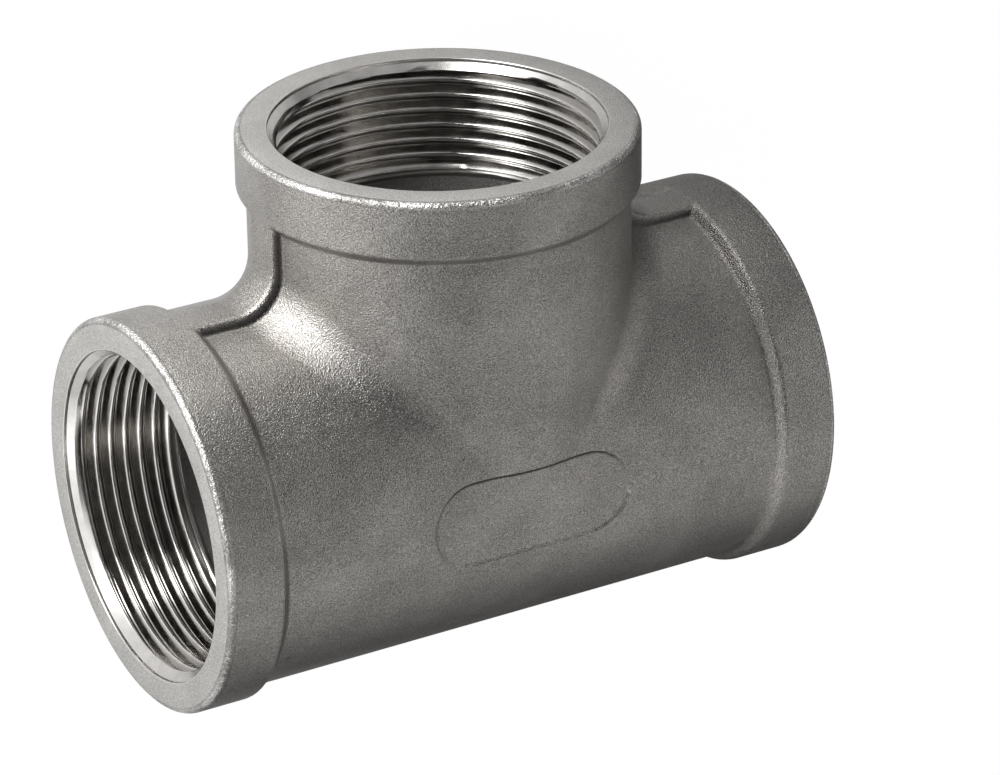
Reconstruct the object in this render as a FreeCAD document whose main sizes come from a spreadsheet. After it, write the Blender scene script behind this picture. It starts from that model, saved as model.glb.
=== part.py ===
"""A banded pipe tee, cast in one piece, with a female parallel pipe thread in each of its three ports.

The tee lies on its back. The run is along X, the branch points to +Y, and +Z is up, out of the face that
carries the oval marking recess. The origin is on the surface that the tee lies on, under the middle of its
box. Lengths are in millimetres.

Inside the body's own coordinates the run is along X and the branch along +Z, with the two axes crossing at
(0, 0, 0) and the marked face towards -Y. The body's Placement lays it down.
"""
import FreeCAD, Part
import math
import os

import Sketcher
from FreeCAD import Placement, Rotation, Vector

NODE = "pipe_tee"

# Each driving dimension: its name, its value and what it measures.
DIMENSIONS = (
    ("centre_to_face", 48.5, "from the crossing of the axes to the face of each port"),
    ("barrel_radius", 26.85, "outside of the run between its bands"),
    ("neck_radius", 26.7, "outside of the branch below its band"),
    ("crotch_blend", 6.5, "rolling radius of the blend between branch and run"),
    ("band_radius", 28.25, "outside of the reinforcing band round each port"),
    ("band_width", 8.1, "from the port's face to the top of the band's shoulder"),
    ("shoulder_width", 1.5, "length along the axis of the slope from band to wall"),
    ("band_edge_bevel", 0.8, "bevel of the band's outer corner at the face"),
    ("rib_width", 6.8, "thickness of each rib, square to the plane of the axes"),
    ("rib_below_band", 0.05, "how far the rib's crown stays under the band's surface"),
    ("rib_corner", 5.5, "concave radius where the rib turns from run to branch"),
    ("rib_edge_bevel", 0.5, "bevel of the rib's long edges"),
    ("rib_depth", 4.5, "depth of the rib's section, down into the wall"),
    ("thread_bore_radius", 22.42, "crests of the thread, its minor radius"),
    ("mouth_radius", 23.85, "outer edge of the lead-in chamfer, at the face"),
    ("thread_reach", 17.3, "from the face to the end of the thread"),
    ("waterway_radius", 23.3, "cast waterway beyond the threads"),
    ("mark_length", 31.3, "length of the marking recess along the run"),
    ("mark_height", 12.8, "height of the marking recess across the barrel"),
    ("mark_shift", -0.55, "middle of the marking recess along the run"),
    ("mark_depth", 0.3, "depth of the marking recess below the barrel"),
)
SIZE = {name: value for name, value, meaning in DIMENSIONS}

LIE_ON_BACK = Rotation(Vector(1, 0, 0), -90)
ON_THE_CURVE = 0.01


def make_sheet(doc):
    """The spreadsheet that holds the driving dimensions."""
    sheet = doc.addObject("Spreadsheet::Sheet", "Sizes")
    for row, (name, value, meaning) in enumerate(DIMENSIONS, start=1):
        sheet.set(f"A{row}", name)
        sheet.set(f"B{row}", str(value))
        sheet.set(f"C{row}", meaning)
        sheet.setAlias(f"B{row}", name)
    doc.recompute()


def origin_feature(body, role):
    """The body's own origin plane or axis that has this role."""
    return next(part for part in body.Origin.OriginFeatures if part.Role == role)


def add_sketch(body, name, role):
    """An empty sketch on one of the body's origin planes."""
    sketch = body.newObject("Sketcher::SketchObject", name)
    sketch.AttachmentSupport = (origin_feature(body, role), "")
    sketch.MapMode = "FlatFace"
    return sketch


def bind(sketch, constraint, expression):
    """Adds a dimension to a sketch and ties it to an expression in the sheet's names."""
    index = sketch.addConstraint(constraint)
    sketch.setExpression(f"Constraints[{index}]", expression)


def place_end(sketch, line, end, across, up):
    """Holds one end of a line at two distances from the origin, or on an axis where a distance is None."""
    if across is None:
        sketch.addConstraint(Sketcher.Constraint("PointOnObject", line, end, -2))
    else:
        bind(sketch, Sketcher.Constraint("DistanceX", -1, 1, line, end, 1.0), across)
    if up is None:
        sketch.addConstraint(Sketcher.Constraint("PointOnObject", line, end, -1))
    else:
        bind(sketch, Sketcher.Constraint("DistanceY", -1, 1, line, end, 1.0), up)


def add_outline(sketch, corners):
    """A closed outline of straight lines, its corners given as pairs of expressions."""
    count = len(corners)
    turn = 2 * math.pi / count
    ring = [Vector(math.cos(turn * i), math.sin(turn * i), 0) for i in range(count)]
    lines = [sketch.addGeometry(Part.LineSegment(ring[i], ring[(i + 1) % count])) for i in range(count)]
    for i, line in enumerate(lines):
        sketch.addConstraint(Sketcher.Constraint("Coincident", line, 2, lines[(i + 1) % count], 1))
        place_end(sketch, line, 1, *corners[i])


def revolve(body, kind, name, sketch, axis_role):
    """A full turn of a sketch about one of the body's origin axes."""
    feature = body.newObject(kind, name)
    feature.Profile = sketch
    feature.ReferenceAxis = (origin_feature(body, axis_role), [""])
    feature.Angle = 360
    return feature


def round_edges(body, name, wanted, radius):
    """A fillet on those edges of the body, as it stands, that a test picks."""
    body.Document.recompute()
    base = body.Tip
    edges = [f"Edge{i}" for i, edge in enumerate(base.Shape.Edges, start=1) if wanted(edge)]
    fillet = body.newObject("PartDesign::Fillet", name)
    fillet.Base = (base, edges)
    fillet.setExpression("Radius", radius)
    body.Document.recompute()


def is_crotch(edge):
    """True for an edge that lies on the outside of both the run and the branch."""
    middle = edge.valueAt((edge.FirstParameter + edge.LastParameter) / 2)
    from_run = math.hypot(middle.y, middle.z) - SIZE["barrel_radius"]
    from_branch = math.hypot(middle.x, middle.y) - SIZE["neck_radius"]
    return abs(from_run) < ON_THE_CURVE and abs(from_branch) < ON_THE_CURVE


def add_run_and_branch(body):
    """The run and the branch with their bands, solid as yet, and the soft blend in the crotch."""
    face = "Sizes.centre_to_face"
    top = "Sizes.centre_to_face - Sizes.band_width"
    foot = "Sizes.centre_to_face - Sizes.band_width - Sizes.shoulder_width"

    bevel = "Sizes.centre_to_face - Sizes.band_edge_bevel"
    rim = "Sizes.band_radius - Sizes.band_edge_bevel"
    band = [("Sizes.band_radius", top), ("Sizes.band_radius", bevel), (rim, face), (None, face)]

    run = add_sketch(body, "RunSection", "XZ_Plane")
    right = [(along, out) for out, along in [("Sizes.barrel_radius", foot)] + band]
    left = [(f"-({along})", out) for along, out in reversed(right)]
    add_outline(run, left + right)
    revolve(body, "PartDesign::Revolution", "Run", run, "X_Axis")

    branch = add_sketch(body, "BranchSection", "XZ_Plane")
    add_outline(branch, [(None, None), ("Sizes.neck_radius", None), ("Sizes.neck_radius", foot)] + band)
    revolve(body, "PartDesign::Revolution", "Branch", branch, "Z_Axis")

    round_edges(body, "CrotchBlend", is_crotch, "Sizes.crotch_blend")


def draw_rib_path(sketch):
    """The middle of the rib's crown: along the run, round the concave corner and up the branch."""
    reach = SIZE["band_radius"] - SIZE["rib_below_band"]
    centre = reach + SIZE["rib_corner"]
    end = SIZE["centre_to_face"] - SIZE["band_width"] / 2
    along_run = sketch.addGeometry(Part.LineSegment(Vector(-end, reach, 0), Vector(-centre, reach, 0)))
    circle = Part.Circle(Vector(-centre, centre, 0), Vector(0, 0, 1), SIZE["rib_corner"])
    corner = sketch.addGeometry(Part.ArcOfCircle(circle, -math.pi / 2, 0))
    up_branch = sketch.addGeometry(Part.LineSegment(Vector(-reach, centre, 0), Vector(-reach, end, 0)))
    sketch.addConstraint(Sketcher.Constraint("Tangent", along_run, 2, corner, 1))
    sketch.addConstraint(Sketcher.Constraint("Tangent", corner, 2, up_branch, 1))
    sketch.addConstraint(Sketcher.Constraint("Horizontal", along_run))
    sketch.addConstraint(Sketcher.Constraint("Vertical", up_branch))
    expression = "Sizes.band_radius - Sizes.rib_below_band"
    bind(sketch, Sketcher.Constraint("DistanceY", -1, 1, along_run, 1, reach), expression)
    bind(sketch, Sketcher.Constraint("DistanceX", up_branch, 1, -1, 1, reach), expression)
    bind(sketch, Sketcher.Constraint("Radius", corner, SIZE["rib_corner"]), "Sizes.rib_corner")
    expression = "Sizes.centre_to_face - Sizes.band_width / 2"
    bind(sketch, Sketcher.Constraint("DistanceX", along_run, 1, -1, 1, end), expression)
    bind(sketch, Sketcher.Constraint("DistanceY", -1, 1, up_branch, 2, end), expression)


def draw_rib_section(sketch):
    """The rib's section: a crown with the run's own curve, two bevelled long edges and straight flanks."""
    crown = SIZE["band_radius"] - SIZE["rib_below_band"]
    bevel = SIZE["rib_edge_bevel"]
    half = SIZE["rib_width"] / 2
    foot = crown - SIZE["rib_depth"]
    edge = math.sqrt(crown ** 2 - (half - bevel) ** 2)
    lean = math.atan2(edge, half - bevel)
    right = [Vector(half, foot, 0), Vector(half, edge - bevel, 0), Vector(half - bevel, edge, 0)]
    left = [Vector(-point.x, point.y, 0) for point in reversed(right)]
    right_flank = sketch.addGeometry(Part.LineSegment(right[0], right[1]))
    right_edge = sketch.addGeometry(Part.LineSegment(right[1], right[2]))
    circle = Part.Circle(Vector(), Vector(0, 0, 1), crown)
    top = sketch.addGeometry(Part.ArcOfCircle(circle, lean, math.pi - lean))
    left_edge = sketch.addGeometry(Part.LineSegment(left[0], left[1]))
    left_flank = sketch.addGeometry(Part.LineSegment(left[1], left[2]))
    base = sketch.addGeometry(Part.LineSegment(left[2], right[0]))
    ring = (right_flank, right_edge, top, left_edge, left_flank, base)
    for before, after in zip(ring, ring[1:] + ring[:1]):
        sketch.addConstraint(Sketcher.Constraint("Coincident", before, 2, after, 1))
    sketch.addConstraint(Sketcher.Constraint("Coincident", top, 3, -1, 1))
    sketch.addConstraint(Sketcher.Constraint("Vertical", right_flank))
    sketch.addConstraint(Sketcher.Constraint("Vertical", left_flank))
    sketch.addConstraint(Sketcher.Constraint("Horizontal", base))
    bind(sketch, Sketcher.Constraint("Radius", top, crown), "Sizes.band_radius - Sizes.rib_below_band")
    bind(sketch, Sketcher.Constraint("DistanceX", -1, 1, base, 2, half), "Sizes.rib_width / 2")
    bind(sketch, Sketcher.Constraint("DistanceX", base, 1, -1, 1, half), "Sizes.rib_width / 2")
    bind(sketch, Sketcher.Constraint("DistanceY", -1, 1, base, 1, foot),
         "Sizes.band_radius - Sizes.rib_below_band - Sizes.rib_depth")
    for line, low, high in ((right_edge, 1, 2), (left_edge, 2, 1)):
        bind(sketch, Sketcher.Constraint("DistanceX", line, 2, line, 1, bevel), "Sizes.rib_edge_bevel")
        bind(sketch, Sketcher.Constraint("DistanceY", line, low, line, high, bevel), "Sizes.rib_edge_bevel")


def add_ribs(body):
    """The two ribs in the crotches, swept from the band of the run to the band of the branch."""
    path = add_sketch(body, "RibPath", "XZ_Plane")
    draw_rib_path(path)
    section = add_sketch(body, "RibSection", "YZ_Plane")
    section.setExpression("AttachmentOffset.Base.z", "Sizes.band_width / 2 - Sizes.centre_to_face")
    draw_rib_section(section)
    body.Document.recompute()

    rib = body.newObject("PartDesign::AdditivePipe", "LeftRib")
    rib.Profile = section
    rib.Spine = (path, [])
    body.Document.recompute()

    mirrored = body.newObject("PartDesign::Mirrored", "RightRib")
    mirrored.Originals = [rib]
    mirrored.MirrorPlane = (origin_feature(body, "YZ_Plane"), [""])
    body.Tip = mirrored
    body.Document.recompute()


def draw_mark(sketch):
    """The oval of the marking recess, a slot with half-round ends."""
    radius = SIZE["mark_height"] / 2
    reach = SIZE["mark_length"] / 2 - radius
    left, right = (Vector(SIZE["mark_shift"] + side * reach, 0, 0) for side in (-1, 1))
    up = Vector(0, radius, 0)
    quarter = math.pi / 2
    axis = Vector(0, 0, 1)
    right_end = sketch.addGeometry(Part.ArcOfCircle(Part.Circle(right, axis, radius), -quarter, quarter))
    top = sketch.addGeometry(Part.LineSegment(right + up, left + up))
    left_end = sketch.addGeometry(Part.ArcOfCircle(Part.Circle(left, axis, radius), quarter, 3 * quarter))
    base = sketch.addGeometry(Part.LineSegment(left - up, right - up))
    for before, after in ((right_end, top), (top, left_end), (left_end, base), (base, right_end)):
        sketch.addConstraint(Sketcher.Constraint("Tangent", before, 2, after, 1))
    sketch.addConstraint(Sketcher.Constraint("PointOnObject", left_end, 3, -1))
    sketch.addConstraint(Sketcher.Constraint("PointOnObject", right_end, 3, -1))
    sketch.addConstraint(Sketcher.Constraint("Equal", left_end, right_end))
    bind(sketch, Sketcher.Constraint("Radius", right_end, radius), "Sizes.mark_height / 2")
    for end, side, centre in ((left_end, "-", left), (right_end, "+", right)):
        expression = f"Sizes.mark_shift {side} (Sizes.mark_length - Sizes.mark_height) / 2"
        bind(sketch, Sketcher.Constraint("DistanceX", -1, 1, end, 3, centre.x), expression)


def add_marking_recess(body):
    """The shallow oval recess on the front of the tee, which is left bare.

    The oval is cut in from the front. Cores along the run and up the branch then fill all but the recess
    itself, so that its floor follows the skin at an even depth.
    """
    oval = add_sketch(body, "MarkOval", "XZ_Plane")
    draw_mark(oval)
    cut = body.newObject("PartDesign::Pocket", "MarkCut")
    cut.Profile = oval
    cut.setExpression("Length", "Sizes.band_radius")
    cut.Reversed = True

    section = add_sketch(body, "MarkRunCoreSection", "XZ_Plane")
    left = "Sizes.mark_shift - Sizes.mark_length / 2"
    right = "Sizes.mark_shift + Sizes.mark_length / 2"
    floor = "Sizes.barrel_radius - Sizes.mark_depth"
    add_outline(section, [(left, None), (left, floor), (right, floor), (right, None)])
    revolve(body, "PartDesign::Revolution", "MarkRunCore", section, "X_Axis")

    section = add_sketch(body, "MarkBranchCoreSection", "XZ_Plane")
    top = "Sizes.mark_height / 2"
    floor = "Sizes.neck_radius - Sizes.mark_depth"
    add_outline(section, [(None, None), (floor, None), (floor, top), (None, top)])
    revolve(body, "PartDesign::Revolution", "MarkBranchCore", section, "Z_Axis")


def add_ports(body):
    """The bored run and branch: a chamfered mouth, the thread's crests and the wider cast waterway."""
    face = "Sizes.centre_to_face"
    chamfer = "Sizes.centre_to_face - (Sizes.mouth_radius - Sizes.thread_bore_radius)"
    thread_end = "Sizes.centre_to_face - Sizes.thread_reach"
    waterway = f"{thread_end} - (Sizes.waterway_radius - Sizes.thread_bore_radius)"
    mouth, bore, wide = "Sizes.mouth_radius", "Sizes.thread_bore_radius", "Sizes.waterway_radius"
    steps = [(waterway, wide), (thread_end, bore), (chamfer, bore), (face, mouth)]

    section = add_sketch(body, "RunBoreSection", "XZ_Plane")
    right_half = steps + [(face, None)]
    left_half = [(f"-({along})", out) for along, out in reversed(right_half)]
    add_outline(section, left_half + right_half)
    revolve(body, "PartDesign::Groove", "RunBore", section, "X_Axis")

    section = add_sketch(body, "BranchBoreSection", "XZ_Plane")
    branch_steps = [(out, along) for along, out in steps]
    add_outline(section, [(None, None), (wide, None)] + branch_steps + [(None, face)])
    revolve(body, "PartDesign::Groove", "BranchBore", section, "Z_Axis")
    body.Document.recompute()


def lay_down(body):
    """Turns the tee onto its back, with the origin under the middle of its box, where it rests."""
    body.Placement = Placement(Vector(), LIE_ON_BACK)
    body.setExpression(".Placement.Base.y", "(Sizes.band_radius - Sizes.centre_to_face) / 2")
    body.setExpression(".Placement.Base.z", "Sizes.band_radius")


def check(doc, body):
    """Stops the build if any object of the document has failed."""
    doc.recompute()
    failed = [item.Name for item in doc.Objects if {"Invalid", "Error"} & set(item.State)]
    if failed:
        raise RuntimeError(f"these failed: {failed}")
    if body.Shape.isNull() or not body.Shape.isValid() or len(body.Shape.Solids) != 1:
        raise RuntimeError("the tee isn't one valid solid")


def main():
    """Builds the tee and writes its file."""
    doc = FreeCAD.newDocument("pipe_tee_model")
    make_sheet(doc)
    body = doc.addObject("PartDesign::Body", "Tee")
    body.Label = NODE
    add_run_and_branch(body)
    add_ribs(body)
    add_marking_recess(body)
    add_ports(body)
    lay_down(body)
    check(doc, body)
    os.makedirs("parts", exist_ok=True)
    body.Shape.exportStep(f"parts/{body.Label}.step")


main()
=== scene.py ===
"""The looks of the pipe tee: cast skin, machined ports and threads, and the studio in which it is shown.

Lengths are in millimetres until the mesh is made. The tee's own axes start where the run and the branch
cross: the first is along the run, the second out of the branch and the third out of the front, where the
oval recess is. They are parallel to the frame's X, Y and Z. An angle round a tube is 0 at the front.
"""
import math

import bmesh
import bpy
import numpy as np
from mathutils import Matrix, Vector


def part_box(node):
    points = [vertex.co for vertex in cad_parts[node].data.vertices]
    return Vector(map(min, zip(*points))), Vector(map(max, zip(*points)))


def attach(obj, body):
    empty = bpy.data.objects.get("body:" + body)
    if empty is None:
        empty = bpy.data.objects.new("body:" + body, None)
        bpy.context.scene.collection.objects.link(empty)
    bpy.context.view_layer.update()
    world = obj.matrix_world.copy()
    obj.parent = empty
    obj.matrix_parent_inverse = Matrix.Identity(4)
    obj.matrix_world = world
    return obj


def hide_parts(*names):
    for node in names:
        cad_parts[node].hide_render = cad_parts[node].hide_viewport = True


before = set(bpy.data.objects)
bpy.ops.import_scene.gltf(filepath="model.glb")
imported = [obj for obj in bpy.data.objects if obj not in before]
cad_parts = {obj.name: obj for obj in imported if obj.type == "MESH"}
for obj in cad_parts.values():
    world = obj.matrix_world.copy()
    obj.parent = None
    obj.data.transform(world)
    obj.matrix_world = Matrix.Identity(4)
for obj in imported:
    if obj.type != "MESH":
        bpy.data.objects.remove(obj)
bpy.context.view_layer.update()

NODE = "pipe_tee"
MM = 0.001

# Sizes read from the frame
LOW, HIGH = (Vector(corner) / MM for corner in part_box(NODE))
CENTRE_TO_FACE = (HIGH.x - LOW.x) / 2
BAND_RADIUS = (HIGH.z - LOW.z) / 2
CROSSING = np.array([(LOW.x + HIGH.x) / 2, LOW.y + BAND_RADIUS, LOW.z + BAND_RADIUS])

# Sizes of the casting
BARREL_RADIUS = BAND_RADIUS - 1.4
SHOULDER_TOP = CENTRE_TO_FACE - 8.0
SHOULDER_FOOT = SHOULDER_TOP - 1.75
BAND_CORNER = 0.95
CROTCH_BLEND = 6.5
RIB_CROWN = BAND_RADIUS - 0.05
RIB_HALF = 3.4
RIB_CORNER = 5.5
RIB_EDGE = 0.8
RIB_FOOT = 0.85
RIB_SINK = 1.5
RIB_SINK_START = SHOULDER_TOP + 1
RIB_SINK_LENGTH = 3
WATERWAY_RADIUS = 23.3
WATERWAY_BLEND = 2.0
MARK_MIDDLE = -0.55
MARK_STRAIGHT = 9.25
MARK_END = 6.4
MARK_DEPTH = 0.4
MARK_WALL = 0.34

# Sizes of the machined ports
THREAD_PITCH = 25.4 / 11
THREAD_MINOR = 22.42
THREAD_DEPTH = 1.479
THREAD_ROUND = 0.1373 * THREAD_PITCH
THREAD_REACH = 17.3
MOUTH_RADIUS = 23.85
LIP_RADIUS = 23.65
LIP_DEPTH = 0.55
LIP_ROUND = 0.18
THREAD_START = 0.8
THREAD_FADE = 0.7
BRANCH_TURN = 0.17

# How finely the mesh is divided, and how it is joined and shaded
CORNER_STEPS = 6
LIP_STEPS = 3
BAND_STEPS = 7
SHOULDER_STEPS = 10
SHOULDER_SPARE = 0.3
INSIDE_STEPS = 24
HALF_ROUNDING, ROUNDING, HALF_PITCH = 0.058, 0.122, 0.5
ROOT_STEPS = 26
ROOT_RANGE = (19.0, 34.0)
PROBE = 0.002
WELD = 0.003 * MM
SHARP_ANGLE = math.radians(38)

# Places in the list of materials
RUN_SKIN, BRANCH_SKIN, FACE, RUN_THREAD, BRANCH_THREAD, WATERWAY = range(6)

# Places of the share and the two colours among the inputs of a mix of colours, and of its result
COLOUR_MIX_INPUTS = (0, 6, 7)
COLOUR_MIX_OUTPUT = 2


def steps(*stretches):
    """Values from the first to the last, each stretch given as its two ends and its number of steps."""
    parts = [np.linspace(first, last, count + 1)[:-1] for first, last, count in stretches]
    return np.concatenate(parts + [[stretches[-1][1]]])


def smooth(share):
    """0 below 0, 1 above 1 and an even S between them."""
    share = np.clip(share, 0, 1)
    return share * share * (3 - 2 * share)


def blended(first, second, cosine, radius):
    """The distance to two surfaces joined by a ball of this radius that rolls in the corner between them.

    first and second are the distances to each, and cosine is that of the angle between their normals.
    """
    near_first = radius - first
    near_second = radius - second
    cosine = np.clip(cosine, 0, 0.9999)
    in_corner = (near_first > cosine * near_second) & (near_second > cosine * near_first)
    square = near_first ** 2 + near_second ** 2 - 2 * cosine * near_first * near_second
    reach = np.sqrt(np.maximum(square, 0) / (1 - cosine ** 2))
    return np.where(in_corner, radius - reach, np.minimum(first, second))


def slopes(field, points):
    """The unit normals of a field at these points."""
    found = []
    for axis in range(3):
        shift = np.zeros(3)
        shift[axis] = PROBE
        found.append(field(points + shift) - field(points - shift))
    normals = np.stack(found, axis=-1)
    return normals / np.maximum(np.linalg.norm(normals, axis=-1, keepdims=True), 1e-12)


def wall_radius(along):
    """The outside radius of a run or branch at a distance from the crossing."""
    along = np.minimum(np.abs(along), CENTRE_TO_FACE)
    rise = smooth((along - SHOULDER_FOOT) / (SHOULDER_TOP - SHOULDER_FOOT))
    past = np.maximum(along - (CENTRE_TO_FACE - BAND_CORNER), 0)
    corner = BAND_CORNER - np.sqrt(np.maximum(BAND_CORNER ** 2 - past ** 2, 0))
    return BARREL_RADIUS + (BAND_RADIUS - BARREL_RADIUS) * rise - corner


def crossed_tubes(points, run_wall, branch_wall, radius):
    """The distance to two round tubes that cross, blended where they meet."""
    x, branch, front = np.moveaxis(points, -1, 0)
    to_run = np.hypot(branch, front)
    to_branch = np.hypot(x, front)
    above = np.where(branch > 0, to_branch - branch_wall, radius + to_branch)
    cosine = front ** 2 / np.maximum(to_run * to_branch, 1)
    return blended(to_run - run_wall, above, cosine, radius)


def tubes(points):
    """The distance to the outside of run and branch, without the ribs."""
    return crossed_tubes(points, wall_radius(points[..., 0]), wall_radius(points[..., 1]), CROTCH_BLEND)


def ribs(points):
    """The distance to the two ribs that follow the run, turn in the crotch and climb the branch.

    Inside the bands they sink away.
    """
    x, branch, front = np.moveaxis(points, -1, 0)
    out = np.abs(x)
    turn = RIB_CROWN + RIB_CORNER
    sag = RIB_CROWN - np.sqrt(RIB_CROWN ** 2 - np.minimum(np.abs(front), RIB_CROWN / 2) ** 2)
    in_turn = RIB_CORNER + sag - np.hypot(out - turn, branch - turn)
    on_wall = np.minimum(np.hypot(branch, front), np.hypot(out, front)) - RIB_CROWN
    crown = np.where((out < turn) & (branch < turn), in_turn, on_wall)
    flank = np.abs(front) - RIB_HALF
    round_crown = np.maximum(crown + RIB_EDGE, 0)
    round_flank = np.maximum(flank + RIB_EDGE, 0)
    edge = np.minimum(np.maximum(crown, flank), -RIB_EDGE) + np.hypot(round_crown, round_flank)
    sunk = RIB_SINK * smooth((np.maximum(out, branch) - RIB_SINK_START) / RIB_SINK_LENGTH)
    return np.where(branch > 0, edge + sunk, RIB_CORNER)


def mark(points):
    """How deep the oval marking recess lies below the skin."""
    x, branch, front = np.moveaxis(points, -1, 0)
    from_edge = MARK_END - np.hypot(np.maximum(np.abs(x - MARK_MIDDLE) - MARK_STRAIGHT, 0), branch)
    return np.where(front > 0, MARK_DEPTH * smooth(from_edge / MARK_WALL), 0)


def outside(points):
    """The distance to the whole cast skin."""
    body = tubes(points)
    rib = ribs(points)
    cosine = np.sum(slopes(tubes, points) * slopes(ribs, points), axis=-1)
    return blended(body, rib, cosine, RIB_FOOT) + mark(points)


def inside(points):
    """The distance to the cast waterway."""
    return crossed_tubes(points, WATERWAY_RADIUS, WATERWAY_RADIUS, WATERWAY_BLEND)


def surface(field, origins, directions):
    """The points where rays from inside a field leave it."""
    low = np.full(origins.shape[:-1], ROOT_RANGE[0])
    high = np.full(origins.shape[:-1], ROOT_RANGE[1])
    for _ in range(ROOT_STEPS):
        middle = (low + high) / 2
        within = field(origins + directions * middle[..., None]) < 0
        low = np.where(within, middle, low)
        high = np.where(within, high, middle)
    return origins + directions * ((low + high) / 2)[..., None]


class Port:
    """One port: the way it faces, the angles of its columns, and its thread's hand and first turn.

    skin and thread are the places of its two materials.
    """

    def __init__(self, axis, angles, hand, turn, skin, thread):
        self.axis = np.array(axis, float)
        self.angles = angles
        self.hand = hand
        self.turn = turn
        self.skin = skin
        self.thread = thread
        across = np.sin(angles)
        front = np.cos(angles)
        level = np.zeros_like(angles)
        if axis[1]:
            self.radial = np.stack([across, level, front], axis=-1)
            self.seam = np.stack([across, np.abs(across), front], axis=-1)
        else:
            self.radial = np.stack([level, across, front], axis=-1)
            self.seam = np.stack([axis[0] * np.maximum(across, 0), across, front], axis=-1)

    def half(self):
        """The same port with every second column."""
        return Port(self.axis, self.angles[::2], self.hand, self.turn, self.skin, self.thread)

    def at(self, along, radius):
        """Points of this port's columns at a distance along its axis and a radius."""
        along, radius = np.broadcast_arrays(along, radius)
        return self.axis * along[..., None] + self.radial * radius[..., None]


def make_ports():
    """The left, right and branch ports.

    Their columns, in degrees, are closest at the marking recess and at both edges of the rib.
    """
    recess, (rib_start, crown_start), (crown_end, rib_end) = 15, (80.4, 85.2), (94.8, 99.6)
    before_rib = steps((0, recess, 30), (recess, rib_start, 30))
    rib = steps((rib_start, crown_start, 20), (crown_start, crown_end, 6), (crown_end, rib_end, 20))
    after_rib = steps((rib_end, 180, 36))
    top = np.concatenate([before_rib, rib[1:], after_rib[1:]])
    bottom = steps((180, 360 - recess, 74), (360 - recess, 360, 30))
    run = np.radians(np.concatenate([top, bottom[1:]]))
    branch = np.radians(np.concatenate([-top[::-1], top[1:]]))
    return [
        Port((-1, 0, 0), run, -1, 0, RUN_SKIN, RUN_THREAD),
        Port((1, 0, 0), run, 1, 0, RUN_SKIN, RUN_THREAD),
        Port((0, 1, 0), branch, -1, BRANCH_TURN, BRANCH_SKIN, BRANCH_THREAD),
    ]


def tube_points(port, field, ends, shares):
    """Points on a field from the port inwards to the seam where the three tubes meet."""
    seam = surface(field, np.zeros_like(port.seam), port.seam)
    seam_along = seam @ port.axis
    inner = ends[-1] + shares[:, None] * (seam_along - ends[-1])
    along = np.concatenate([np.repeat(ends[:, None], len(port.angles), axis=1), inner[:-1]])
    origins = port.axis * along[..., None]
    rows = surface(field, origins, np.broadcast_to(port.radial, origins.shape))
    return np.concatenate([rows, seam[None]])


def skin_points(port):
    """The cast skin of one port, from the edge of its face to the seam.

    Past the shoulder's foot its rows are closest where they cross the edge of the marking recess.
    """
    lean = np.linspace(math.pi / 2, 0, CORNER_STEPS + 1)
    corner = CENTRE_TO_FACE - BAND_CORNER * (1 - np.sin(lean))
    band = np.linspace(corner[-1], SHOULDER_TOP + SHOULDER_SPARE, BAND_STEPS + 1)
    shoulder = np.linspace(band[-1], SHOULDER_FOOT - SHOULDER_SPARE, SHOULDER_STEPS + 1)
    ends = np.concatenate([corner, band[1:], shoulder[1:]])
    foot = ends[-1]
    if port.skin == BRANCH_SKIN:
        places = steps((foot, 9, 18), (9, 4, 20), (4, 0, 10))
    else:
        places = steps((foot, 17, 20), (17, 9, 24), (9, 0, 10))
    return tube_points(port, outside, ends, 1 - places[1:] / foot)


def thread_height(phase):
    """How far the thread's groove reaches out beyond its crest, for a share of the pitch."""
    from_crest = THREAD_PITCH * np.abs((phase % 1) - 0.5)
    from_root = THREAD_PITCH / 2 - from_crest
    tangent = THREAD_ROUND * math.cos(math.radians(27.5))
    flank_low = THREAD_ROUND - math.sqrt(THREAD_ROUND ** 2 - tangent ** 2)
    crest = THREAD_ROUND - np.sqrt(np.maximum(THREAD_ROUND ** 2 - from_crest ** 2, 0))
    root = THREAD_DEPTH - THREAD_ROUND + np.sqrt(np.maximum(THREAD_ROUND ** 2 - from_root ** 2, 0))
    span = THREAD_PITCH / 2 - 2 * tangent
    flank = flank_low + (from_crest - tangent) / span * (THREAD_DEPTH - 2 * flank_low)
    return np.where(from_crest < tangent, crest, np.where(from_root < tangent, root, flank))


def lip_points(port):
    """The short wall under the face's inner edge, rounded over at the face."""
    lean = np.linspace(0, math.pi / 2, LIP_STEPS + 1)[:, None]
    fall = LIP_ROUND * (1 - np.cos(lean))
    wall = MOUTH_RADIUS - LIP_ROUND * np.sin(lean) * np.ones_like(port.angles)
    rounded = port.at(CENTRE_TO_FACE - fall, wall)
    rim = port.at(CENTRE_TO_FACE - LIP_DEPTH, np.full(len(port.angles), LIP_RADIUS))
    return np.concatenate([rounded, rim[None]])


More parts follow.
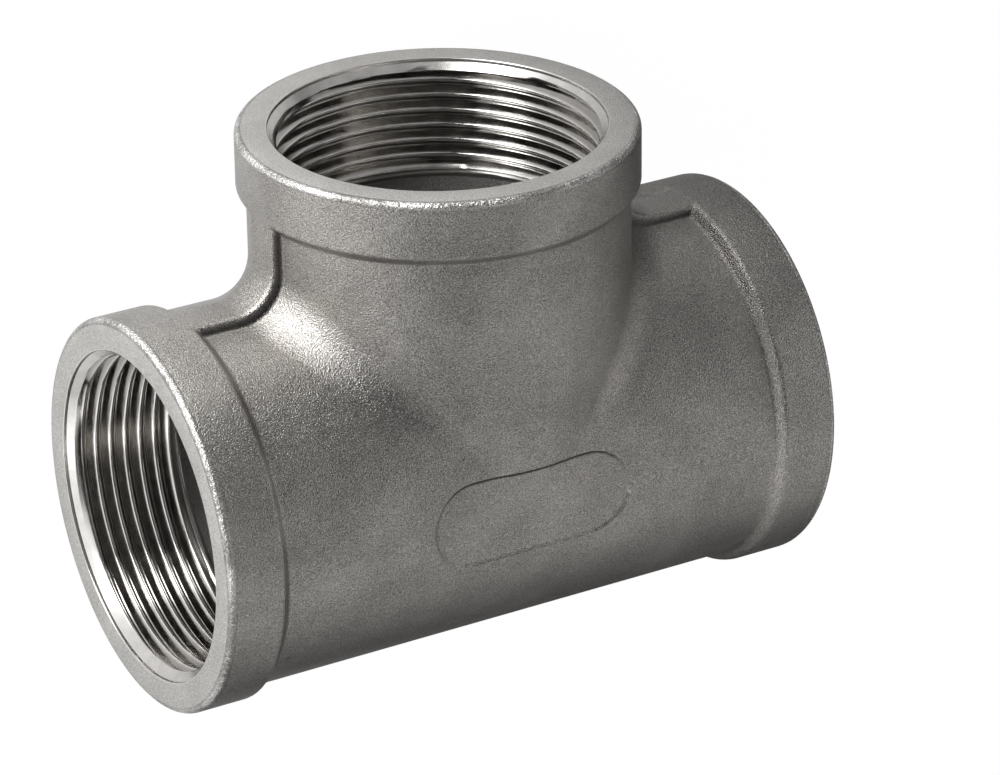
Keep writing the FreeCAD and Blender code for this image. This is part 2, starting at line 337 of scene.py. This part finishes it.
def thread_points(port):
    """The lead-in chamfer, the thread and the step to the waterway, in rows that follow the helix.

    The thread fades in below the lip, so that its groove doesn't break through the chamfer.
    """
    root = np.array([0, HALF_ROUNDING, ROUNDING])
    marks = np.concatenate([root, HALF_PITCH - root[::-1]])
    marks = np.concatenate([marks, 1 - marks[-2:0:-1]])
    end = CENTRE_TO_FACE - THREAD_REACH
    last = end - (WATERWAY_RADIUS - THREAD_MINOR)
    lip = CENTRE_TO_FACE - LIP_DEPTH
    turns = np.arange(math.floor(last / THREAD_PITCH) - 2, math.ceil(lip / THREAD_PITCH) + 3)
    rows = np.sort((turns[:, None] + marks).ravel())[::-1]
    offset = port.turn + port.hand * port.angles / (2 * math.pi)
    along = np.clip((rows[:, None] - offset) * THREAD_PITCH, last, lip)
    phase = along / THREAD_PITCH + offset
    cut = smooth((along - end) / THREAD_PITCH) * smooth((lip - THREAD_START - along) / THREAD_FADE)
    thread = THREAD_MINOR + cut * thread_height(phase)
    chamfer = LIP_RADIUS - (lip - along)
    step = THREAD_MINOR + np.clip(end - along, 0, WATERWAY_RADIUS - THREAD_MINOR)
    return port.at(along, np.maximum(np.maximum(thread, chamfer), step))


class Builder:
    """Collects grids of points as one mesh."""

    def __init__(self):
        self.points = []
        self.faces = []
        self.slots = []
        self.count = 0

    def add(self, points, faces, slot):
        """Points, and faces that count them from 0."""
        self.points.append(points.reshape(-1, 3))
        self.faces += (faces + self.count).tolist()
        self.slots += [slot] * len(faces)
        self.count += len(self.points[-1])

    def add_grid(self, points, slot):
        """A grid of rows and columns."""
        rows, columns = points.shape[:2]
        index = np.arange(rows * columns).reshape(rows, columns)
        corners = [index[:-1, :-1], index[:-1, 1:], index[1:, 1:], index[1:, :-1]]
        self.add(points, np.stack([corner.ravel() for corner in corners], axis=-1), slot)

    def add_halving(self, outer, inner, slot):
        """A flat ring between one circle of points and another with half as many."""
        start = np.arange(0, len(outer) - 1, 2)
        near = len(outer) + start // 2
        triangles = [
            (start, start + 1, near),
            (start + 1, near + 1, near),
            (start + 1, start + 2, near + 1),
        ]
        faces = np.concatenate([np.stack(triangle, axis=-1) for triangle in triangles])
        self.add(np.concatenate([outer, inner]), faces, slot)

    def make(self, name, materials):
        """The welded object, its normals outward."""
        mesh = bpy.data.meshes.new(name)
        points = (np.concatenate(self.points) + CROSSING) * MM
        mesh.from_pydata(points.tolist(), [], self.faces)
        for material in materials:
            mesh.materials.append(material)
        mesh.polygons.foreach_set("material_index", self.slots)
        work = bmesh.new()
        work.from_mesh(mesh)
        bmesh.ops.remove_doubles(work, verts=work.verts, dist=WELD)
        bmesh.ops.recalc_face_normals(work, faces=work.faces)
        work.to_mesh(mesh)
        work.free()
        mesh.shade_smooth()
        mesh.set_sharp_from_angle(angle=SHARP_ANGLE)
        piece = bpy.data.objects.new(name, mesh)
        bpy.context.scene.collection.objects.link(piece)
        return piece


def build_casting(materials):
    """The whole tee as one closed mesh."""
    builder = Builder()
    for port in make_ports():
        skin = skin_points(port)
        builder.add_grid(skin, port.skin)
        half = port.half()
        mouth = half.at(CENTRE_TO_FACE, np.full(len(half.angles), MOUTH_RADIUS))
        builder.add_halving(skin[0], mouth, FACE)
        builder.add_grid(lip_points(half), port.thread)
        builder.add_grid(thread_points(half), port.thread)
        start = CENTRE_TO_FACE - THREAD_REACH - (WATERWAY_RADIUS - THREAD_MINOR)
        shares = np.linspace(0, 1, INSIDE_STEPS)[1:]
        builder.add_grid(tube_points(half, inside, np.array([start]), shares), WATERWAY)
    return builder.make("tee_casting", materials)


class Nodes:
    """Adds nodes to a node tree, each with its settings and inputs."""

    def __init__(self, tree):
        self.tree = tree
        tree.nodes.clear()

    def add(self, kind, inputs, **settings):
        """A node whose inputs are plain values or the outputs of other nodes."""
        made = self.tree.nodes.new(kind)
        for name, value in settings.items():
            setattr(made, name, value)
        for name, value in inputs.items():
            if isinstance(value, bpy.types.NodeSocket):
                self.tree.links.new(value, made.inputs[name])
            else:
                made.inputs[name].default_value = value
        return made

    def math(self, operation, *values):
        """The result of a sum on values or outputs."""
        return self.add("ShaderNodeMath", dict(enumerate(values)), operation=operation).outputs[0]

    def vector(self, operation, *values):
        """The outputs of a sum on vectors."""
        return self.add("ShaderNodeVectorMath", dict(enumerate(values)), operation=operation).outputs

    def product(self, first, *others):
        """The product of values or outputs."""
        for other in others:
            first = self.math("MULTIPLY", first, other)
        return first

    def split(self, vector):
        """The parts of a vector along X, Y and Z."""
        return self.add("ShaderNodeSeparateXYZ", {0: vector}).outputs

    def noise(self, place, scale, detail=2.0, roughness=0.5):
        """The value of a noise at this many cells to the metre."""
        inputs = {"Vector": place, "Scale": scale, "Detail": detail, "Roughness": roughness}
        return self.add("ShaderNodeTexNoise", inputs).outputs["Fac"]

    def line_noise(self, value, scale):
        """The value of a noise along one measure."""
        inputs = {"W": self.math("MULTIPLY", value, scale), "Scale": 1.0, "Detail": 1.0}
        return self.add("ShaderNodeTexNoise", inputs, noise_dimensions="1D").outputs["Fac"]

    def between(self, value, low, high, first, last):
        """A value moved from one range to another, and held inside it."""
        ends = {"From Min": low, "From Max": high, "To Min": first, "To Max": last}
        return self.add("ShaderNodeMapRange", {"Value": value, **ends}).outputs["Result"]

    def rise(self, value, low, high, top=1.0):
        """0 up to low, and from there evenly up to the top at high."""
        return self.between(value, low, high, 0.0, top)

    def fall(self, value, low, high):
        """1 up to low, and from there evenly down to 0 at high."""
        return self.between(value, low, high, 1.0, 0.0)

    def mix(self, share, first, second):
        """A value between two, by a share from 0 to 1."""
        inputs = {"Factor": share, "A": first, "B": second}
        return self.add("ShaderNodeMix", inputs).outputs["Result"]

    def colour(self, share, dark, light):
        """A colour between two, by a share from 0 to 1."""
        ends = [end if isinstance(end, bpy.types.NodeSocket) else (*end, 1) for end in (dark, light)]
        inputs = dict(zip(COLOUR_MIX_INPUTS, (share, *ends)))
        return self.add("ShaderNodeMix", inputs, data_type="RGBA").outputs[COLOUR_MIX_OUTPUT]

    def bump(self, height, depth, under=None):
        """A bumped normal, with the depth in millimetres."""
        inputs = {"Strength": 1.0, "Distance": depth * MM, "Height": height}
        if under:
            inputs["Normal"] = under
        return self.add("ShaderNodeBump", inputs).outputs["Normal"]

    def place(self):
        """The place on the tee, in metres."""
        return self.add("ShaderNodeTexCoord", {}).outputs["Object"]

    def own(self, place):
        """The place on the tee's own axes, in millimetres."""
        moved = self.vector("SUBTRACT", place, list(CROSSING * MM))[0]
        return self.vector("MULTIPLY", moved, [1 / MM] * 3)[0]

    def from_port(self, own, along_branch):
        """The distance from a port's axis and from the crossing, in millimetres."""
        flat = [1, 0, 1] if along_branch else [0, 1, 1]
        radius = self.vector("LENGTH", self.vector("MULTIPLY", own, flat)[0])["Value"]
        return radius, self.math("ABSOLUTE", self.split(own)["Y" if along_branch else "X"])

    def metal(self, colour, roughness, normal):
        """The shader of bare metal, as the material's surface."""
        inputs = {"Base Color": colour, "Metallic": 1.0, "Roughness": roughness, "Normal": normal}
        shader = self.add("ShaderNodeBsdfPrincipled", inputs)
        self.add("ShaderNodeOutputMaterial", {"Surface": shader.outputs["BSDF"]})


def new_material(name):
    """An empty material and its nodes."""
    material = bpy.data.materials.new(name)
    material.use_nodes = True
    return material, Nodes(material.node_tree)


# The cast skin: cells to the metre of its noises, the depth of their bumps, and the part each takes
GRAIN_CELLS = 5600.0
PIT_CELLS = 3600.0
LUMP_CELLS = 420.0
STAIN_CELLS = 90.0
LUMP_DEPTH = 0.03
PIT_SHARE = 0.3
GRAIN_IN_COLOUR = 0.75
MOTTLE = (0.38, 0.74)
GRAIN_ROUGHNESS = 0.06
NOISE_RANGE = (0.3, 0.7)

# Painted shade at the rib feet and under the upper edge of the marking recess, dark colour where shade falls:
# its colour, where it comes and goes across each edge, and from how far along the branch
PAINTED_SHADE = (0.04, 0.037, 0.033)
RIB_SHADE = 0.8
RIB_SHADE_IN = (RIB_HALF - 0.2, RIB_HALF + 0.05)
RIB_SHADE_OUT = (RIB_HALF + 0.2, RIB_HALF + 0.6)
RIB_SHADE_FROM = (20.0, 21.0)
MARK_SHADE_IN = (MARK_END - MARK_WALL - 0.3, MARK_END - MARK_WALL)
MARK_SHADE_OUT = (MARK_END - 0.1, MARK_END + 0.1)
MARK_SHADE_FROM = (2.5, MARK_END)

# The band's corner, knocked and rubbed bright
RUBBED = (0.8, 0.79, 0.77)
RUBBED_ROUGHNESS = 0.2
RUBBED_PLACE = (-1.0, -0.62)
RUBBED_PATCHES = (0.43, 0.58)
KNOCK_CELLS = 1500.0
KNOCK_DEPTH = 0.3
PATCH_CELLS = 170.0


def rib_shade(nodes, parts, depth):
    """How much painted shade lies along the foot of the ribs, between the bands."""
    aside = nodes.math("ABSOLUTE", parts["Z"])
    return nodes.product(
        nodes.rise(aside, *RIB_SHADE_IN, RIB_SHADE),
        nodes.fall(aside, *RIB_SHADE_OUT),
        nodes.rise(parts["Y"], *RIB_SHADE_FROM),
        nodes.fall(depth, SHOULDER_FOOT, SHOULDER_TOP),
    )


def mark_shade(nodes, parts):
    """How much painted shade lies under the upper edge of the marking recess."""
    past_middle = nodes.math("ABSOLUTE", nodes.math("SUBTRACT", parts["X"], MARK_MIDDLE))
    past_straight = nodes.math("MAXIMUM", nodes.math("SUBTRACT", past_middle, MARK_STRAIGHT), 0.0)
    outward = nodes.add("ShaderNodeCombineXYZ", {0: past_straight, 1: parts["Y"]}).outputs[0]
    out = nodes.vector("LENGTH", outward)["Value"]
    return nodes.product(
        nodes.rise(out, *MARK_SHADE_IN),
        nodes.fall(out, *MARK_SHADE_OUT),
        nodes.rise(parts["Y"], *MARK_SHADE_FROM),
        nodes.rise(parts["Z"], 0.0, 1.0),
    )


def rub_corner(nodes, place, past_corner, colour, rough, normal):
    """The colour, roughness and normal of a skin, with the corner of its band knocked and rubbed bright."""
    corner = nodes.rise(past_corner, *RUBBED_PLACE)
    knocks = nodes.noise(place, KNOCK_CELLS, 3.0, 0.7)
    patches = nodes.mix(0.5, knocks, nodes.noise(place, PATCH_CELLS))
    rubbed = nodes.product(corner, nodes.rise(patches, *RUBBED_PATCHES))
    normal = nodes.bump(nodes.product(knocks, corner), KNOCK_DEPTH, normal)
    return nodes.colour(rubbed, colour, RUBBED), nodes.mix(rubbed, rough, RUBBED_ROUGHNESS), normal


def make_cast(name, dark, light, roughness, grain_depth, along_branch=None):
    """Bead-blasted cast stainless: a sandy grain over soft lumps.

    Where along_branch is given, this is the outer skin of a port, with painted shade on it and its rubbed
    corner.
    """
    material, nodes = new_material(name)
    place = nodes.place()
    grain = nodes.noise(place, GRAIN_CELLS, 1.0, 0.6)
    cells = {"Vector": place, "Scale": PIT_CELLS}
    pits = nodes.add("ShaderNodeTexVoronoi", cells, feature="SMOOTH_F1").outputs["Distance"]
    height = nodes.mix(PIT_SHARE, grain, pits)
    normal = nodes.bump(nodes.noise(place, LUMP_CELLS), LUMP_DEPTH, nodes.bump(height, grain_depth))
    mottle = nodes.mix(GRAIN_IN_COLOUR, nodes.noise(place, STAIN_CELLS, 4.0, 0.6), grain)
    colour = nodes.colour(nodes.rise(mottle, *MOTTLE), dark, light)
    rough = nodes.between(grain, *NOISE_RANGE, roughness - GRAIN_ROUGHNESS, roughness + GRAIN_ROUGHNESS)

    if along_branch is not None:
        own = nodes.own(place)
        parts = nodes.split(own)
        radius, depth = nodes.from_port(own, along_branch)
        # painted shade: darker colour at the foot of the ribs and under the recess's upper edge
        shade = nodes.math("MAXIMUM", rib_shade(nodes, parts, depth), mark_shade(nodes, parts))
        colour = nodes.colour(shade, colour, PAINTED_SHADE)
        past_corner = nodes.math("SUBTRACT", nodes.math("ADD", radius, depth), CENTRE_TO_FACE + BAND_RADIUS)
        colour, rough, normal = rub_corner(nodes, place, past_corner, colour, rough, normal)
    nodes.metal(colour, rough, normal)
    return material


# The turned metal: cells to the millimetre across the grooves and to the metre over the patches, and the
# distances from the chamfer, from the thread's end and from its crest over which each look comes in
GROOVE_CELLS, WAVE_CELLS, WAVE_SHARE = 9.0, 1.9, 0.6
WORN_CELLS = 400.0
DULLER, SHINIER = 0.06, 0.04
CHAMFER_ROUGHNESS = 0.27
CHAMFER_EDGE = (0.15, 0.4)
THREAD_RUN_OUT = (0.8, 2.4)
RUN_OUT_SHARE = 0.3
# Darker colour on the thread's flanks and roots, away from the crest: partly dirt, partly painted shade
DIRT_AND_SHADE = (0.26, 0.247, 0.23)
DIRT_AND_SHADE_DEPTH = (0.02, 0.4)
DIRT_AND_SHADE_SHARE = 0.62


def make_turned(name, dark, light, roughness, groove_depth, along_branch):
    """Metal cut on a lathe: fine grooves round the port's axis, and a darker colour down in the thread,
    partly dirt and partly painted shade.
    """
    material, nodes = new_material(name)
    place = nodes.place()
    radius, depth = nodes.from_port(nodes.own(place), along_branch)
    cut = nodes.math("ADD", radius, depth)
    grooves = nodes.mix(WAVE_SHARE, nodes.line_noise(cut, GROOVE_CELLS), nodes.line_noise(cut, WAVE_CELLS))
    worn = nodes.noise(place, WORN_CELLS, 3.0)
    colour = nodes.colour(nodes.rise(worn, *NOISE_RANGE), dark, light)
    rough = nodes.between(worn, *NOISE_RANGE, roughness - SHINIER, roughness + DULLER)

    chamfer = LIP_RADIUS - (CENTRE_TO_FACE - LIP_DEPTH)
    past_chamfer = nodes.math("SUBTRACT", nodes.math("SUBTRACT", radius, depth), chamfer)
    threaded = nodes.rise(past_chamfer, *CHAMFER_EDGE)
    end = CENTRE_TO_FACE - THREAD_REACH
    full = nodes.between(depth, *(end + past for past in THREAD_RUN_OUT), RUN_OUT_SHARE, 1.0)
    dirt_and_shade = nodes.rise(radius, *(THREAD_MINOR + deep for deep in DIRT_AND_SHADE_DEPTH), DIRT_AND_SHADE_SHARE)
    colour = nodes.colour(nodes.product(threaded, dirt_and_shade), colour, DIRT_AND_SHADE)
    rough = nodes.mix(nodes.product(threaded, full), CHAMFER_ROUGHNESS, rough)
    nodes.metal(colour, rough, nodes.bump(grooves, groove_depth))
    return material


def make_materials():
    """The materials in the order of their places."""
    dark, light = (0.24, 0.23, 0.218), (0.74, 0.711, 0.675)
    pale, paler = (0.50, 0.485, 0.466), (0.96, 0.937, 0.903)
    bright, brighter = (0.68, 0.66, 0.635), (0.80, 0.785, 0.765)
    # The waterway's colours are darker than the skin's: painted shade inside the tee
    inner_shaded_dark, inner_shaded_light = (0.22, 0.21, 0.20), (0.38, 0.365, 0.35)
    skin = {"roughness": 0.34, "grain_depth": 0.15}
    thread = {"roughness": 0.13, "groove_depth": 0.005}
    return [
        make_cast("run_skin", dark, light, along_branch=False, **skin),
        make_cast("branch_skin", dark, light, along_branch=True, **skin),
        make_cast("port_face", pale, paler, roughness=0.34, grain_depth=0.17),
        make_turned("run_thread", bright, brighter, along_branch=False, **thread),
        make_turned("branch_thread", bright, brighter, along_branch=True, **thread),
        make_cast("cast_waterway", inner_shaded_dark, inner_shaded_light, roughness=0.45, grain_depth=0.2),
    ]


# How bright the surroundings are away from the view
WORLD_LEVEL = 0.02

# The floor: half its width in metres, its own pale colour, the part of a white glow in the view and in the
# metal, and how strong that glow is in the view
FLOOR_HALF = 2.0
FLOOR_PALE = 0.8
FLOOR_IN_VIEW = 0.87
FLOOR_IN_METAL = 0.85
FLOOR_WHITE = 1.1

# How strong that glow is in the metal: it grows in the direction FLOOR_SIDE, over the distances FLOOR_TURN
# from the middle, and there is more of it under the key light, up to the distances KEY_SPOT
FLOOR_AWAY, FLOOR_TOWARDS = 0.03, 0.93
FLOOR_SIDE = (-0.85, 0.53, 0)
FLOOR_TURN = (-0.07, 0.05)
FLOOR_AT_KEY = 1.3
KEY_SPOT = (0.1, 0.2)

# Each softbox: its direction round the upright tee, distance and size in metres, and power in watts
KEY_DIRECTION, KEY_DISTANCE = (-0.63, -0.06, 0.77), 0.26
SOFTBOXES = (
    ("key", KEY_DIRECTION, KEY_DISTANCE, (0.24, 0.08), 0.53),
    ("left", (-1, -0.33, 0.0), 0.45, (0.5, 0.26), 0.46),
    ("low_left", (-0.75, -0.3, -0.7), 0.5, (0.4, 0.26), 0.4),
    ("right", (0.85, -0.6, 0.05), 0.6, (0.5, 0.6), 0.68),
    ("low_front", (0.1, -0.85, -0.7), 0.6, (0.6, 0.5), 0.63),
    ("front", (0.1, -1, 0.2), 0.8, (0.8, 0.7), 0.3),
    ("high", (0.4, -0.3, 0.87), 0.5, (0.6, 0.28), 0.2),
    ("below", (0.35, -0.42, -0.84), 0.5, (0.6, 0.28), 0.19),
)

# The photograph's camera, round the tee as it stands there with its branch upright, in millimetres
VIEW_AZIMUTH = math.radians(-29.741)
VIEW_ELEVATION = math.radians(25.870)
VIEW_ROLL = math.radians(-0.653)
VIEW_DISTANCE = 699.76
VIEW_RIGHT = 8.134
VIEW_UP = 6.945
VIEW_FOCAL_PIXELS = 4906.77
PHOTO_WIDTH = 1000
SENSOR_WIDTH = 36.0
LIE_ON_BACK = Matrix.Rotation(math.radians(-90), 3, "X")


def laid_down(vector):
    """A direction or place round the upright tee, turned with the tee onto its back."""
    return LIE_ON_BACK @ Vector(vector)


def place_camera():
    """The camera at the photograph's viewing angle."""
    back = Vector((math.sin(VIEW_AZIMUTH) * math.cos(VIEW_ELEVATION),
                   -math.cos(VIEW_AZIMUTH) * math.cos(VIEW_ELEVATION), math.sin(VIEW_ELEVATION)))
    level = (-back).cross(Vector((0, 0, 1))).normalized()
    upright = level.cross(-back)
    right = level * math.cos(VIEW_ROLL) + upright * math.sin(VIEW_ROLL)
    up = upright * math.cos(VIEW_ROLL) - level * math.sin(VIEW_ROLL)
    eye = back * VIEW_DISTANCE + right * VIEW_RIGHT + up * VIEW_UP
    data = bpy.data.cameras.new("photo_camera")
    data.sensor_width = SENSOR_WIDTH
    data.lens = VIEW_FOCAL_PIXELS * SENSOR_WIDTH / PHOTO_WIDTH
    camera = bpy.data.objects.new("photo_camera", data)
    turned = Matrix([laid_down(axis) for axis in (right, up, back)]).transposed()
    camera.matrix_world = turned.to_4x4()
    camera.location = (laid_down(eye) + Vector(CROSSING)) * MM
    bpy.context.scene.collection.objects.link(camera)
    bpy.context.scene.camera = camera


def add_softbox(name, direction, distance, size, power):
    """A soft rectangular light that faces the tee, in metres and watts."""
    data = bpy.data.lights.new(name, "AREA")
    data.shape = "RECTANGLE"
    data.size, data.size_y = size
    data.energy = power
    light = bpy.data.objects.new(name, data)
    way = laid_down(direction).normalized()
    light.location = Vector(CROSSING) * MM + way * distance
    light.rotation_euler = way.to_track_quat("Z", "Y").to_euler()
    bpy.context.scene.collection.objects.link(light)


def add_surroundings():
    """White in the view, and nearly dark to everything else."""
    world = bpy.data.worlds.new("studio")
    bpy.context.scene.world = world
    world.use_nodes = True
    nodes = Nodes(world.node_tree)
    seen = nodes.add("ShaderNodeLightPath", {}).outputs["Is Camera Ray"]
    strength = nodes.between(seen, 0.0, 1.0, WORLD_LEVEL, 1.0)
    shader = nodes.add("ShaderNodeBackground", {"Color": (1, 1, 1, 1), "Strength": strength})
    nodes.add("ShaderNodeOutputWorld", {"Surface": shader.outputs[0]})


def make_floor_material():
    """Pale and dull, with a white glow that the view and the metal see in different strengths."""
    material, nodes = new_material("pale_floor")
    path = nodes.add("ShaderNodeLightPath", {}).outputs
    place = nodes.place()
    towards = nodes.vector("DOT_PRODUCT", place, FLOOR_SIDE)["Value"]
    sheen = nodes.between(towards, *FLOOR_TURN, FLOOR_AWAY, FLOOR_TOWARDS)
    key = laid_down(KEY_DIRECTION) * KEY_DISTANCE
    from_key = nodes.vector("DISTANCE", place, (key.x, key.y, 0))["Value"]
    sheen = nodes.math("ADD", sheen, nodes.between(from_key, *KEY_SPOT, FLOOR_AT_KEY, 0.0))
    strength = nodes.mix(path["Is Glossy Ray"], FLOOR_WHITE, sheen)
    in_view = nodes.product(path["Is Camera Ray"], FLOOR_IN_VIEW)
    in_metal = nodes.product(path["Is Glossy Ray"], FLOOR_IN_METAL)
    share = nodes.math("MAXIMUM", in_view, in_metal)
    pale = nodes.add("ShaderNodeBsdfDiffuse", {"Color": (FLOOR_PALE, FLOOR_PALE, FLOOR_PALE, 1)})
    glow = nodes.add("ShaderNodeEmission", {"Color": (1, 1, 1, 1), "Strength": strength})
    mixed = nodes.add("ShaderNodeMixShader", {0: share, 1: pale.outputs[0], 2: glow.outputs[0]})
    nodes.add("ShaderNodeOutputMaterial", {"Surface": mixed.outputs[0]})
    return material


def add_floor():
    """The plain pale floor that the tee lies on."""
    mesh = bpy.data.meshes.new("floor")
    corners = [(-1, -1), (1, -1), (1, 1), (-1, 1)]
    mesh.from_pydata([(x * FLOOR_HALF, y * FLOOR_HALF, 0) for x, y in corners], [], [(0, 1, 2, 3)])
    mesh.materials.append(make_floor_material())
    floor = bpy.data.objects.new("floor", mesh)
    bpy.context.scene.collection.objects.link(floor)


def main():
    """Builds everything."""
    casting = build_casting(make_materials())
    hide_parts(NODE)
    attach(casting, "root")
    place_camera()
    add_surroundings()
    add_floor()
    for softbox in SOFTBOXES:
        add_softbox(*softbox)
    bpy.context.scene.view_settings.view_transform = "Standard"
    bpy.context.view_layer.update()


main()
